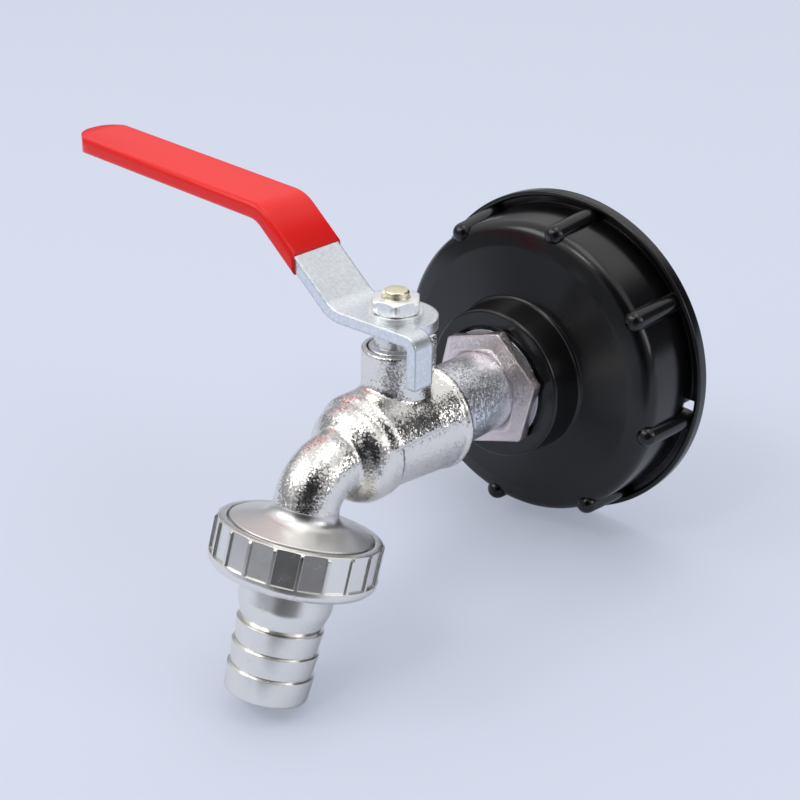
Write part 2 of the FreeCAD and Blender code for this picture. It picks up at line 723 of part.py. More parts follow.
def lever_nut():
    start = LEVER_TOP + LEVER_WASHER_THICKNESS
    nut = hexagon_nut(start, start + LEVER_NUT_THICKNESS, LEVER_NUT_FLATS, STEM_THREAD_R + THREAD_GAP)
    return on_stem(nut).rotated(FreeCAD.Vector(BALL_X, 0, 0), Z_AXIS, -90 + LEVER_NUT_ANGLE)


# Union nut and hose tail

def union_nut():
    """Round nut with a row of flats pressed round its rim, open at the top."""
    blank = turned(
        (NUT_TOP, NUT_BORE_R),
        (NUT_TOP, NUT_R, NUT_TOP_ROUND),
        (NUT_BOTTOM - NUT_CHAMFER, NUT_R, 0.5),
        (NUT_BOTTOM, NUT_R - NUT_CHAMFER, 0.4),
        (NUT_BOTTOM, TAIL_COLLAR_R + 2 * LOOSE_GAP),
        (NUT_SHELF, TAIL_COLLAR_R + 2 * LOOSE_GAP),
        (NUT_SHELF, NUT_BORE_R),
    )
    cuts = []
    for i in range(NUT_FLATS):
        corner = FreeCAD.Vector(NUT_TOP, -NUT_FLAT_WIDTH / 2, NUT_R - NUT_FLAT_DEPTH)
        block = Part.makeBox(NUT_LENGTH - NUT_LIP, NUT_FLAT_WIDTH, 2 * NUT_FLAT_DEPTH, corner)
        angle = NUT_FIRST_ANGLE + i * 360 / NUT_FLATS
        cuts.append(block.rotated(CENTRE, X_AXIS, angle))
    return on_spout(blank.cut(cuts))


def tail_washer():
    return on_spout(tube(SPOUT_END, TAIL_TOP, TAIL_FLANGE_R, TAIL_BORE_R))


def hose_tail():
    """Tail with a flange that the nut pulls up, a waisted collar and saw-tooth barbs."""
    corners = [
        (TAIL_TOP, TAIL_BORE_R),
        (TAIL_TOP, TAIL_FLANGE_R),
        (FLANGE_BOTTOM, TAIL_FLANGE_R),
        (FLANGE_BOTTOM, TAIL_COLLAR_R),
        (NUT_BOTTOM + TAIL_COLLAR_LENGTH, TAIL_COLLAR_R, TAIL_COLLAR_ROUND),
        (BARB_START, TAIL_WAIST_R),
    ]
    for i in range(BARB_COUNT):
        edge = BARB_START + i * BARB_PITCH
        corners.append((edge + BARB_EDGE, BARB_R))
        if i < BARB_COUNT - 1:
            corners.append((edge + BARB_PITCH, BARB_ROOT_R))
    corners.append((TAIL_END, TAIL_END_R, TAIL_END_ROUND))
    corners.append((TAIL_END, TAIL_BORE_R))
    return on_spout(turned(*corners))


PIECES = {
    "coupling_cap": coupling_cap,
    "tank_gasket": tank_gasket,
    "cap_washer": cap_washer,
    "hex_bushing": hex_bushing,
    "nipple_gasket": nipple_gasket,
    "nipple_locknut": nipple_locknut,
    "inlet_connector": inlet_connector,
    "valve_body": valve_body,
    "ball": ball,
    "seat_inlet": lambda: seat(1),
    "seat_outlet": lambda: seat(-1),
    "stem": stem,
    "stem_washer": stem_washer,
    "stem_packing": stem_packing,
    "gland_nut": gland_nut,
    "lever": lever,
    "lever_grip": lever_grip,
    "lever_washer": lever_washer,
    "lever_nut": lever_nut,
    "union_nut": union_nut,
    "tail_washer": tail_washer,
    "hose_tail": hose_tail,
}

os.makedirs("parts", exist_ok=True)
for name, make in PIECES.items():
    shape = make()
    print(name, "solids", len(shape.Solids), "valid", shape.isValid(), "volume", round(shape.Volume, 1))
    shape.exportStep(os.path.join("parts", name + ".step"))
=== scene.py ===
import json
import math

import bmesh
import bpy
from mathutils import Matrix, Vector


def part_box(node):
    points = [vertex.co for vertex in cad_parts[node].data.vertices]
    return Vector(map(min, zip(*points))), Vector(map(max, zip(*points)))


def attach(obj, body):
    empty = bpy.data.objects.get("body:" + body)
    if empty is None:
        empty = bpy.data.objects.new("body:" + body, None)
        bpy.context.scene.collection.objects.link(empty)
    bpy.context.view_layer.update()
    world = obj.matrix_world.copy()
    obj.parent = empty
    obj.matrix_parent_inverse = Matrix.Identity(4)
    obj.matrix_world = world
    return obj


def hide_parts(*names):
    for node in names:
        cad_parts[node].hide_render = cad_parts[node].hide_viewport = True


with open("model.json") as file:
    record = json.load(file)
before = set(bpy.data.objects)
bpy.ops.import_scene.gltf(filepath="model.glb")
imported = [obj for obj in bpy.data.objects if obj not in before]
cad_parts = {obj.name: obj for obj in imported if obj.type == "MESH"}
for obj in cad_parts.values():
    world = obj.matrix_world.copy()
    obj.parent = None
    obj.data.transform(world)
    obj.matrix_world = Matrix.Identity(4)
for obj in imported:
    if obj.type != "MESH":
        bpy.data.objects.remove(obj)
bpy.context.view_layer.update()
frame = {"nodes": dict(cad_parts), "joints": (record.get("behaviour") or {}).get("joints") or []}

# Camera: the photograph looks down on the tap from the spout's side, with the closed lever
# going away to the left. Its place is counted from the ball, which is the tap's centre.
MM = 0.001
PICTURE = 800
BALL_PIXEL = (393.3, 433.6)
VIEW_AZIMUTH = math.radians(49.8)
VIEW_HEIGHT = math.radians(25.3)
VIEW_ROLL = math.radians(1.3)
VIEW_DISTANCE = 345.7 * MM
FOCAL_PIXELS = 1558.6
SENSOR = 36.0

low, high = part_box("ball")
BALL = Vector(((low.x + high.x) / 2, 0, 0))
towards_camera = Vector((
    -math.sin(VIEW_AZIMUTH) * math.cos(VIEW_HEIGHT),
    -math.cos(VIEW_AZIMUTH) * math.cos(VIEW_HEIGHT),
    math.sin(VIEW_HEIGHT)))
level_right = (-towards_camera).cross(Vector((0, 0, 1))).normalized()
level_up = level_right.cross(-towards_camera)
view_right = math.cos(VIEW_ROLL) * level_right + math.sin(VIEW_ROLL) * level_up
view_up = math.cos(VIEW_ROLL) * level_up - math.sin(VIEW_ROLL) * level_right
off_centre = [(pixel - PICTURE / 2) * VIEW_DISTANCE / FOCAL_PIXELS for pixel in BALL_PIXEL]
eye = BALL + towards_camera * VIEW_DISTANCE - view_right * off_centre[0] + view_up * off_centre[1]

camera_data = bpy.data.cameras.new("camera")
camera_data.sensor_width = SENSOR
camera_data.lens = FOCAL_PIXELS / PICTURE * SENSOR
camera_data.clip_start = 0.01
camera = bpy.data.objects.new("camera", camera_data)
turn = Matrix((view_right, view_up, towards_camera)).transposed()
camera.matrix_world = Matrix.Translation(eye) @ turn.to_4x4()
bpy.context.scene.collection.objects.link(camera)
bpy.context.scene.camera = camera
bpy.context.scene.view_settings.view_transform = "Standard"


# Floor: a pale sheet, which partly glows its own pale colour where it is seen straight on. The tap
# lies on it as set down, on the cap's hoop and the lower rim of the hose tail, so the sheet leans a
# few degrees from the part's own
# level. A painted reflection: on the spout's side the sheet turns dark for reflected rays only, so
# the metal mirrors a dark patch that the sheet itself does not show.
def linear(code):
    """sRGB hex colour as linear light."""
    parts = [int(code[i:i + 2], 16) / 255 for i in (1, 3, 5)]
    return [p / 12.92 if p <= 0.04045 else ((p + 0.055) / 1.055) ** 2.4 for p in parts] + [1.0]


def add(tree, kind, settings=None, **sockets):
    """A shader node with its settings; each socket takes a value or another node's output."""
    made = tree.nodes.new("ShaderNode" + kind)
    for name, value in (settings or {}).items():
        setattr(made, name, value)
    for name, value in sockets.items():
        socket = made.inputs[int(name[1:]) if name[0] == "_" else name.replace("_", " ")]
        if isinstance(value, bpy.types.NodeSocket):
            tree.links.new(value, socket)
        else:
            socket.default_value = value
    return made


def new_material(name):
    made = bpy.data.materials.new(name)
    made.use_nodes = True
    made.node_tree.nodes.clear()
    return made, made.node_tree


def finish_material(made, surface):
    add(made.node_tree, "OutputMaterial", Surface=surface)
    return made


FLOOR_COLOUR = "#d9dfee"
FLOOR_GLOW = "#d2d9eb"
GLOW_SHARE = 0.45
FLOOR_SIZE = 3.0
# Painted reflection: colour, side and reach of a dark patch on the sheet that only reflected rays
# see.
PAINTED_REFLECTION_COLOUR = "#727379"
PAINTED_REFLECTION_SIDE = (-0.7638, -0.6455, 0)
PAINTED_REFLECTION_EDGE = 0.80
PAINTED_REFLECTION_CORE = 0.92
PAINTED_REFLECTION_NEAR = 0.09
PAINTED_REFLECTION_FAR = 0.15
cap_low, cap_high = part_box("coupling_cap")
hoop_foot = Vector((cap_high.x, 0, cap_low.z))
tail_points = [v.co.copy() for v in frame["nodes"]["hose_tail"].data.vertices]
tail_foot = min(tail_points, key=lambda point: point.z)
tail_foot.y = 0
along_floor = (hoop_foot - tail_foot).normalized()
floor_up = along_floor.cross(Vector((0, 1, 0))).normalized()
if floor_up.z < 0:
    floor_up = -floor_up

floor_mesh = bmesh.new()
bmesh.ops.create_grid(floor_mesh, x_segments=1, y_segments=1, size=FLOOR_SIZE)
lean = Vector((0, 0, 1)).rotation_difference(floor_up).to_matrix().to_4x4()
bmesh.ops.transform(floor_mesh, matrix=Matrix.Translation(hoop_foot) @ lean, verts=floor_mesh.verts)
floor_data = bpy.data.meshes.new("floor")
floor_mesh.to_mesh(floor_data)
floor_mesh.free()
floor = bpy.data.objects.new("floor", floor_data)
bpy.context.scene.collection.objects.link(floor)
material, tree = new_material("floor_paper")
spot = add(tree, "NewGeometry").outputs["Position"]
from_tap = add(tree, "VectorMath", {"operation": "SUBTRACT"}, _0=spot, _1=tuple(BALL)).outputs[0]
far = add(tree, "VectorMath", {"operation": "LENGTH"}, _0=from_tap).outputs["Value"]
way = add(tree, "VectorMath", {"operation": "NORMALIZE"}, _0=from_tap).outputs[0]
facing = add(tree, "VectorMath", {"operation": "DOT_PRODUCT"}, _0=way, _1=PAINTED_REFLECTION_SIDE)
across = add(
    tree, "MapRange", {"interpolation_type": "SMOOTHSTEP"}, Value=facing.outputs["Value"],
    From_Min=PAINTED_REFLECTION_EDGE, From_Max=PAINTED_REFLECTION_CORE)
along = add(tree, "MapRange", Value=far, From_Min=PAINTED_REFLECTION_NEAR, From_Max=PAINTED_REFLECTION_FAR)
rays = add(tree, "LightPath").outputs
dark = add(
    tree, "Math", {"operation": "MULTIPLY"}, _0=across.outputs[0], _1=along.outputs[0])
# Painted reflection: the patch is dark for reflected rays only, so the metal mirrors a dark that
# the sheet does not show.
painted_reflection_mask = add(
    tree, "Math", {"operation": "MULTIPLY"}, _0=dark.outputs[0], _1=rays["Is Glossy Ray"])
tone = add(
    tree, "MixRGB", _0=painted_reflection_mask.outputs[0], _1=linear(FLOOR_COLOUR), _2=linear(PAINTED_REFLECTION_COLOUR))
paper = add(tree, "BsdfDiffuse", Color=tone.outputs[0])
glow = add(tree, "Emission", Color=linear(FLOOR_GLOW))
share = add(tree, "Math", {"operation": "MULTIPLY"}, _0=rays["Is Camera Ray"], _1=GLOW_SHARE)
sheet = add(tree, "MixShader", _0=share.outputs[0], _1=paper.outputs[0], _2=glow.outputs[0])
floor.data.materials.append(finish_material(material, sheet.outputs[0]))


# Light: a pale room with one wide soft lamp high on the left, one overhead, a small one in
# front and a weak one on the right. Two stretches of its wall are dark, one on the spout's
# side and one to the right of the tank's side, and show as dark bands in the metal.
def area_lamp(name, place, target, size, power, colour="#ffffff"):
    data = bpy.data.lights.new(name, "AREA")
    data.shape = "RECTANGLE"
    data.size, data.size_y = size
    data.energy = power
    data.color = linear(colour)[:3]
    lamp = bpy.data.objects.new(name, data)
    direction = (Vector(target) - Vector(place)).normalized()
    lamp.rotation_euler = direction.to_track_quat("-Z", "Y").to_euler()
    lamp.location = place
    bpy.context.scene.collection.objects.link(lamp)


LAMP_AIM = (-0.05, 0.0, 0.0)
area_lamp("soft_left", (-0.90, 0.75, 1.00), LAMP_AIM, (0.6, 0.6), 4.0)
area_lamp("soft_front", (-0.90, 0.05, 1.05), LAMP_AIM, (0.25, 0.25), 1.6)
area_lamp("soft_top", (0.05, -0.10, 1.40), LAMP_AIM, (0.9, 0.6), 3.0)
area_lamp("soft_right", (0.40, -1.20, 0.50), LAMP_AIM, (0.5, 0.5), 2.0)

CEILING = "#f4f4f5"
CEILING_START = 0.15
CEILING_FULL = 0.55
WALLS = "#8d8f94"
# Each dark stretch: its colour, the way to its middle, and the cosines where it starts and
# where it is fully dark.
SPOUT_SIDE_DARK = ("#232428", (-0.6905, -0.5836, 0.4274), 0.78, 0.90)
TANK_SIDE_DARK = ("#35363a", (0.69, -0.66, 0.29), 0.82, 0.96)
BACKDROP = "#d5dcee"
world = bpy.data.worlds.new("room")
bpy.context.scene.world = world
world.use_nodes = True
tree = world.node_tree
tree.nodes.clear()
direction = add(tree, "TexCoord").outputs["Generated"]
height = add(tree, "SeparateXYZ", Vector=direction).outputs["Z"]
overhead = add(
    tree, "MapRange", {"interpolation_type": "SMOOTHSTEP"}, Value=height,
    From_Min=CEILING_START, From_Max=CEILING_FULL)
room = add(tree, "MixRGB", _0=overhead.outputs[0], _1=linear(WALLS), _2=linear(CEILING))
for dark_colour, towards, edge, core in (TANK_SIDE_DARK, SPOUT_SIDE_DARK):
    near = add(tree, "VectorMath", {"operation": "DOT_PRODUCT"}, _0=direction, _1=towards)
    within = add(
        tree, "MapRange", {"interpolation_type": "SMOOTHSTEP"}, Value=near.outputs["Value"],
        From_Min=edge, From_Max=core)
    room = add(tree, "MixRGB", _0=within.outputs[0], _1=room.outputs[0], _2=linear(dark_colour))
seen = add(tree, "LightPath").outputs["Is Camera Ray"]
room = add(tree, "MixRGB", _0=seen, _1=room.outputs[0], _2=linear(BACKDROP))
background = add(tree, "Background", Color=room.outputs[0], Strength=1.0)
add(tree, "OutputWorld", Surface=background.outputs[0])


# Coupling cap: black moulded polypropylene, with eight half-round grip bars that run into
# a thin hoop round the rim. The mould leaves a small window through the rim beside two bars.
ROUND_STEP = math.radians(9)


def rounded(corners):
    """Points of a closed outline from (u, v) or (u, v, radius) corners, with drawn-out arcs."""
    points = []
    for i, corner in enumerate(corners):
        here = Vector(corner[:2])
        if len(corner) == 2:
            points.append(here)
            continue
        back = (Vector(corners[i - 1][:2]) - here).normalized()
        ahead = (Vector(corners[(i + 1) % len(corners)][:2]) - here).normalized()
        half = back.angle(ahead) / 2
        middle = (back + ahead).normalized()
        centre_point = here + middle * (corner[2] / math.sin(half))
        start = here + back * (corner[2] / math.tan(half)) - centre_point
        sweep = math.pi - 2 * half
        if back.x * ahead.y - back.y * ahead.x > 0:
            sweep = -sweep
        count = max(2, math.ceil(abs(sweep) / ROUND_STEP))
        for k in range(count + 1):
            points.append(centre_point + Matrix.Rotation(sweep * k / count, 2) @ start)
    return points


def turn_profile(mesh, corners, steps=128):
    """Spin a closed outline of (x, radius) corners, in millimetres, round the X axis."""
    verts = [mesh.verts.new((p.x, 0, max(p.y, 0))) for p in rounded(corners)]
    edges = [mesh.edges.new((verts[i - 1], verts[i])) for i in range(len(verts))
             if verts[i - 1].co.z > 1e-6 or verts[i].co.z > 1e-6]
    bmesh.ops.spin(
        mesh, geom=verts + edges, cent=(0, 0, 0), axis=(1, 0, 0), angle=math.tau, steps=steps,
        use_merge=True)
    bmesh.ops.remove_doubles(mesh, verts=mesh.verts, dist=1e-4)


def place_fresh(mesh, before, matrix):
    """Move what was drawn in a mesh since its points were listed in before."""
    bmesh.ops.transform(mesh, matrix=matrix, verts=[v for v in mesh.verts if v not in before])


def make_piece(name, mesh, place, made, sharp=32):
    """Object from a mesh in millimetres, put in its place in the frame."""
    bmesh.ops.remove_doubles(mesh, verts=mesh.verts, dist=1e-4)
    bmesh.ops.recalc_face_normals(mesh, faces=mesh.faces)
    bmesh.ops.transform(mesh, matrix=place @ Matrix.Scale(MM, 4), verts=mesh.verts)
    data = bpy.data.meshes.new(name)
    mesh.to_mesh(data)
    mesh.free()
    data.shade_smooth()
    data.set_sharp_from_angle(angle=math.radians(sharp))
    data.materials.append(made)
    piece = bpy.data.objects.new(name, data)
    bpy.context.scene.collection.objects.link(piece)
    return piece


def fit_piece(piece, body, nodes):
    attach(piece, body)
    if nodes:
        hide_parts(*nodes)


def cut_away(piece, cutter):
    """Take one closed mesh out of another and keep the result as the piece's own mesh."""
    modifier = piece.modifiers.new("cut", "BOOLEAN")
    modifier.operation = "DIFFERENCE"
    modifier.solver = "EXACT"
    modifier.object = cutter
    bpy.context.view_layer.update()
    evaluated = piece.evaluated_get(bpy.context.evaluated_depsgraph_get())
    result = bpy.data.meshes.new_from_object(evaluated)
    piece.modifiers.clear()
    old = piece.data
    result.name = old.name
    piece.data = result
    bpy.data.meshes.remove(old)
    bpy.data.objects.remove(cutter)


def moulded_polypropylene():
    """Black glass-like moulding: deep black, half gloss, with a faint uneven skin."""
    made, tree = new_material("moulded_polypropylene")
    place = add(tree, "TexCoord").outputs["Object"]
    skin = add(tree, "TexNoise", Vector=place, Scale=1 / (9 * MM), Detail=3.0)
    fine = add(tree, "TexNoise", Vector=place, Scale=1 / (0.5 * MM), Detail=2.0)
    rough = add(tree, "MapRange", Value=skin.outputs["Fac"], To_Min=0.16, To_Max=0.24)
    edges = add(tree, "Bevel", {"samples": 6}, Radius=0.5 * MM)
    bump = add(
        tree, "Bump", Height=fine.outputs["Fac"], Distance=0.01 * MM, Strength=0.5,
        Normal=edges.outputs[0])
    shader = add(
        tree, "BsdfPrincipled", Base_Color=linear("#0c0c0e"), Roughness=rough.outputs[0],
        IOR=1.49, Normal=bump.outputs[0])
    return finish_material(made, shader.outputs[0])


CAP_DEPTH = 29.0
RIM_BORE_R = 30.0
RELIEF_R = 30.8
THREAD_LENGTH = 13.0
CAP_FLOOR = 16.0
HUB_R = 18.3
HUB_BORE_R = 16.2
WALL_R = 37.6
WALL_TAPER = 0.8
HOOP_R = 41.0
HOOP_INNER_R = 39.7
HOOP_WIDTH = 3.2
HOOP_WEB = 1.0
CREASE_DEPTH = 18.6
BAR_R = 2.5
BAR_COUNT = 8
BAR_FIRST_ANGLE = -10.0
BAR_PROUD = 1.7
BAR_LEAN = 1.2
WINDOW = (3.9, 3.0)
WINDOW_BARS = (0, 4)
WINDOW_ANGLE = 5.2

cap_mesh = bmesh.new()
turn_profile(cap_mesh, [
    (0, RIM_BORE_R, 0.3),
    (0, HOOP_R, 0.45),
    (-HOOP_WIDTH, HOOP_R, 0.55),
    (-HOOP_WIDTH, HOOP_INNER_R, 0.3),
    (-HOOP_WEB, HOOP_INNER_R),
    (-HOOP_WEB, WALL_R),
    (-17.0, WALL_R - WALL_TAPER, 3.4),
    (-CREASE_DEPTH, 31.3, 2.5),
    (-20.3, HUB_R + 0.65, 0.9),
    (-CAP_DEPTH, HUB_R, 0.7),
    (-CAP_DEPTH, 14.4, 0.2),
    (-28.4, 14.4),
    (-28.4, 12.4),
    (-25.4, 12.4),
    (-25.4, HUB_BORE_R, 0.5),
    (-CAP_FLOOR, HUB_BORE_R, 0.5),
    (-CAP_FLOOR, RELIEF_R),
    (-THREAD_LENGTH, RELIEF_R),
    (-THREAD_LENGTH, RIM_BORE_R),
], steps=256)
polypropylene = moulded_polypropylene()
cap = make_piece("cap", cap_mesh, Matrix(), polypropylene)

windows = bmesh.new()
for i in WINDOW_BARS:
    angle = math.radians(BAR_FIRST_ANGLE + WINDOW_ANGLE + i * 360 / BAR_COUNT)
    depth, width = WINDOW
    block = bmesh.ops.create_cube(windows, size=1)["verts"]
    size = Matrix.Diagonal((depth + 1, HOOP_INNER_R - WALL_R + 2, width, 1))
    offset = Matrix.Translation((-depth / 2 + 0.5, -(HOOP_INNER_R + WALL_R - 2) / 2, 0))
    spin = Matrix.Rotation(-angle, 4, "X")
    bmesh.ops.transform(windows, matrix=spin @ offset @ size, verts=block)
cut_away(cap, make_piece("cap_windows", windows, Matrix(), polypropylene))
cap.data.shade_smooth()
cap.data.set_sharp_from_angle(angle=math.radians(32))
fit_piece(cap, "tap_body", ["coupling_cap"])

bars = bmesh.new()
tip_r = WALL_R - WALL_TAPER + BAR_PROUD - BAR_R
length = CREASE_DEPTH - BAR_R - HOOP_WEB
dome_angles = [math.radians(15 * k) for k in range(7)]
dome = [(BAR_R - BAR_R * math.cos(a), BAR_R * math.sin(a)) for a in dome_angles]
lean = Matrix.Rotation(-math.atan2(BAR_LEAN, length), 4, "Z")
seat = Matrix.Translation((-CREASE_DEPTH, -tip_r, 0))
for i in range(BAR_COUNT):
    before = set(bars.verts)
    turn_profile(bars, dome + [(length + BAR_R, BAR_R), (length + BAR_R, 0)], steps=32)
    angle = math.radians(BAR_FIRST_ANGLE + i * 360 / BAR_COUNT)
    place_fresh(bars, before, Matrix.Rotation(-angle, 4, "X") @ seat @ lean)
fit_piece(make_piece("cap_bars", bars, Matrix(), polypropylene), "tap_body", [])


# Washer and hexagon bushing: a plated steel washer, and a rough cast hexagon with a low
# six-sided crown. The bushing's threaded spigot goes through the cap to its locknut.
CLOUD_SIZE = 3.0
MOTTLE_SIZE = 0.8


# The grain of a blasted or tumbled skin is finer than the picture shows, so its facets are
# drawn 0.3 to 0.4 mm across.
def plated_metal(name, colour, roughness, grain_size=None, tilt=0.03, edge=0.3, mottle=None,
                 uneven=0.05):
    """Metal under a thin plating: colour, gloss, and small facets that its making left on it."""
    made, tree = new_material(name)
    place = add(tree, "TexCoord").outputs["Object"]
    cloud = add(
        tree, "TexNoise", Vector=place, Scale=1 / (CLOUD_SIZE * MM), Detail=3.0, Roughness=0.6)
    rough = add(
        tree, "MapRange", Value=cloud.outputs["Fac"], From_Min=0.3, From_Max=0.7,
        To_Min=max(roughness - uneven, 0.03), To_Max=roughness + uneven)
    normal = add(tree, "Bevel", {"samples": 6}, Radius=edge * MM).outputs[0]
    if grain_size:
        facets = add(tree, "TexVoronoi", Vector=place, Scale=1 / (grain_size * MM)).outputs["Color"]
        centred = add(tree, "VectorMath", {"operation": "SUBTRACT"}, _0=facets, _1=(0.5, 0.5, 0.5))
        lean = add(
            tree, "VectorMath", {"operation": "SCALE"}, _0=centred.outputs[0], Scale=2 * tilt)
        leaning = add(tree, "VectorMath", {"operation": "ADD"}, _0=normal, _1=lean.outputs[0])
        unit = add(tree, "VectorMath", {"operation": "NORMALIZE"}, _0=leaning.outputs[0])
        normal = unit.outputs[0]
    base = linear(colour)
    if mottle:
        patches = add(
            tree, "TexNoise", Vector=place, Scale=1 / (MOTTLE_SIZE * MM), Detail=5.0,
            Roughness=0.6)
        cloudy = add(tree, "MapRange", Value=patches.outputs["Fac"], From_Min=0.4, From_Max=0.6)
        mixed = add(tree, "MixRGB", _0=cloudy.outputs[0], _1=base, _2=linear(mottle))
        base = mixed.outputs[0]
    shader = add(tree, "BsdfPrincipled", Base_Color=base, Metallic=1.0, Roughness=rough.outputs[0],
                 Normal=normal)
    return finish_material(made, shader.outputs[0])


def cad_copy(node):
    """A CAD node's mesh, merged, in millimetres."""
    mesh = bmesh.new()
    mesh.from_mesh(frame["nodes"][node].data)
    bmesh.ops.transform(mesh, matrix=Matrix.Scale(1 / MM, 4), verts=mesh.verts)
    bmesh.ops.remove_doubles(mesh, verts=mesh.verts, dist=2e-3)
    return mesh


def dress_node(node, body, made, sharp=32):
    """A smooth-shaded copy stands for a small CAD node whose shape is right as it is."""
    mesh = cad_copy(node)
    piece = make_piece(node + "_skin", mesh, Matrix(), made, sharp)
    fit_piece(piece, body, [node])
    return piece


HEXAGON_FLATS = 26.2
HEXAGON_THICKNESS = 2.7
HEXAGON_CORNER = 0.5
CROWN = 1.4
HEXAGON_ANGLE = 17.8
NECK_R = 9.66
bushing_low, bushing_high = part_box("hex_bushing")
CROWN_FRONT = bushing_low.x / MM
HEXAGON_FRONT = CROWN_FRONT + CROWN
HEXAGON_BACK = HEXAGON_FRONT + HEXAGON_THICKNESS
SPIGOT_END = bushing_high.x / MM

# Bright zinc: clean and bluish, with a soft mirror.
zinc_washer = plated_metal("zinc_plated_washer", "#b4b8be", 0.25, 0.4, 0.02, edge=0.3)
dress_node("cap_washer", "tap_body", zinc_washer)

hexagon = bmesh.new()
bmesh.ops.create_circle(hexagon, cap_ends=True, segments=6, radius=HEXAGON_FLATS / math.sqrt(3))
front = hexagon.faces[:]
raised = bmesh.ops.extrude_face_region(hexagon, geom=front)["geom"]
top_verts = [g for g in raised if isinstance(g, bmesh.types.BMVert)]
top_face = [g for g in raised if isinstance(g, bmesh.types.BMFace)]
bmesh.ops.translate(hexagon, vec=(0, 0, HEXAGON_THICKNESS), verts=top_verts)
bmesh.ops.inset_region(hexagon, faces=top_face, thickness=0.3, depth=0)
bmesh.ops.inset_region(
    hexagon, faces=top_face, thickness=HEXAGON_FLATS / 2 - NECK_R - 0.9, depth=CROWN,
    use_even_offset=True)
NEARLY = 0.2
corners = [e for e in hexagon.edges
           if abs(e.verts[0].co.z - e.verts[1].co.z) > HEXAGON_THICKNESS - NEARLY
           and e.calc_length() < HEXAGON_THICKNESS + NEARLY]
bmesh.ops.bevel(
    hexagon, geom=corners, offset=HEXAGON_CORNER, segments=4, profile=0.5, affect="EDGES",
    material=-1)
face_forward = Matrix.Rotation(math.radians(-90), 4, "Y")
corner_down = Matrix.Rotation(math.radians(-HEXAGON_ANGLE), 4, "X")
bmesh.ops.transform(
    hexagon, verts=hexagon.verts,
    matrix=Matrix.Translation((HEXAGON_BACK, 0, 0)) @ corner_down @ face_forward)
# Die-cast zinc: warm grey, with the fine sparkle of a blasted skin and edges worn bright.
cast_hexagon = plated_metal("cast_zinc_hexagon", "#e6dbd9", 0.33, 0.3, 0.12, edge=0.6)
bushing = make_piece("bushing", hexagon, Matrix(), cast_hexagon)
bore = bmesh.new()
turn_profile(bore, [
    (CROWN_FRONT - 1, 0), (CROWN_FRONT - 1, NECK_R + 0.05), (HEXAGON_BACK + 1, NECK_R + 0.05),
    (HEXAGON_BACK + 1, 0)])
cut_away(bushing, make_piece("bushing_bore", bore, Matrix(), cast_hexagon))
fit_piece(bushing, "tap_body", ["hex_bushing"])

SPIGOT_R = 12.1
SPIGOT_BORE_R = 9.45
spigot = bmesh.new()
turn_profile(spigot, [
    (HEXAGON_BACK - 0.3, 9.9), (HEXAGON_BACK - 0.3, SPIGOT_R), (SPIGOT_END, SPIGOT_R, 0.5),
    (SPIGOT_END, SPIGOT_BORE_R), (CROWN_FRONT + 11.9, SPIGOT_BORE_R), (CROWN_FRONT + 11.9, 9.9)])
fit_piece(make_piece("spigot", spigot, Matrix(), cast_hexagon), "tap_body", [])
dress_node("nipple_locknut", "tap_body", cast_hexagon)


# Inlet connector: the plain neck between the hexagon and the tap body, turned, blasted and
# nickel plated. It screws into both and its far end holds the seat against the ball.
at_ball = Matrix.Translation(BALL)
BODY_REAR = 13.1
SEAT_FACE = 8.2
neck_end = (CROWN_FRONT * MM - BALL.x) / MM
neck = bmesh.new()
turn_profile(neck, [
    (SEAT_FACE, 5.3), (SEAT_FACE, 10.1), (BODY_REAR, 10.1), (BODY_REAR, NECK_R),
    (neck_end + 0.6, NECK_R), (neck_end + 0.6, 9.35), (neck_end + 11.4, 9.35, 0.4),
    (neck_end + 11.4, 6.5), (11.2, 6.5), (9.7, 5.3)])
# Blasted and nickel plated brass: grey, with a fine even sparkle.
blasted_neck = plated_metal("blasted_nickel_neck", "#eef0f6", 0.32, 0.3, 0.11, edge=0.1)
plain_neck = make_piece("neck", neck, at_ball, blasted_neck)
fit_piece(plain_neck, "tap_body", ["inlet_connector"])


# Tap body: one brass casting, tumbled and nickel plated, so its edges are soft and its skin
# is a bright fine grain. A saddle over the barrel carries the boss for the stem.
def join_solids(name, mesh, voxel, smoothing):
    """Overlapping closed solids become one casting with soft inner corners, in millimetres."""
    data = bpy.data.meshes.new(name)
    bmesh.ops.recalc_face_normals(mesh, faces=mesh.faces)
    mesh.to_mesh(data)
    mesh.free()
    rough_piece = bpy.data.objects.new(name, data)
    bpy.context.scene.collection.objects.link(rough_piece)
    remesh = rough_piece.modifiers.new("cast", "REMESH")
    remesh.mode = "VOXEL"
    remesh.voxel_size = voxel
    smooth = rough_piece.modifiers.new("tumble", "SMOOTH")
    smooth.factor = 0.5
    smooth.iterations = smoothing
    bpy.context.view_layer.update()
    result = bmesh.new()
    result.from_object(rough_piece, bpy.context.evaluated_depsgraph_get())
    bpy.data.objects.remove(rough_piece)
    bpy.data.meshes.remove(data)
    return result


BARREL_R = 12.2
WAIST = 8.4
BULGE_R = 11.4
BULGE_END = 15.2
TUBE_START = 18.4
PAD_R = 12.7
PAD_FRONT = 11.0
PAD_REAR = 2.7
PAD_EDGE_HEIGHT = 4.3
BOSS_R = 7.4
BOSS_TOP = 21.3
STOP_RIB_SIZE = (6.6, 4.0, 16.6, 1)
STOP_RIB_MIDDLE = (8.7, 0, 12.5)
TUBE_R = 7.2
BEND_R = 9.0
joint = {j["name"]: j for j in frame["joints"]}
spout_axis = Vector(joint["nut_turn"]["axis"])
SPOUT_END = 10.4
spout_start = Vector(joint["nut_turn"]["pos_m"]) - spout_axis * SPOUT_END * MM
spout_turn = math.atan2(-spout_axis.z, spout_axis.x)
on_spout = Matrix.Translation(spout_start) @ Matrix.Rotation(spout_turn, 4, "Y")
on_stem = at_ball @ Matrix.Rotation(math.radians(-90), 4, "Y")
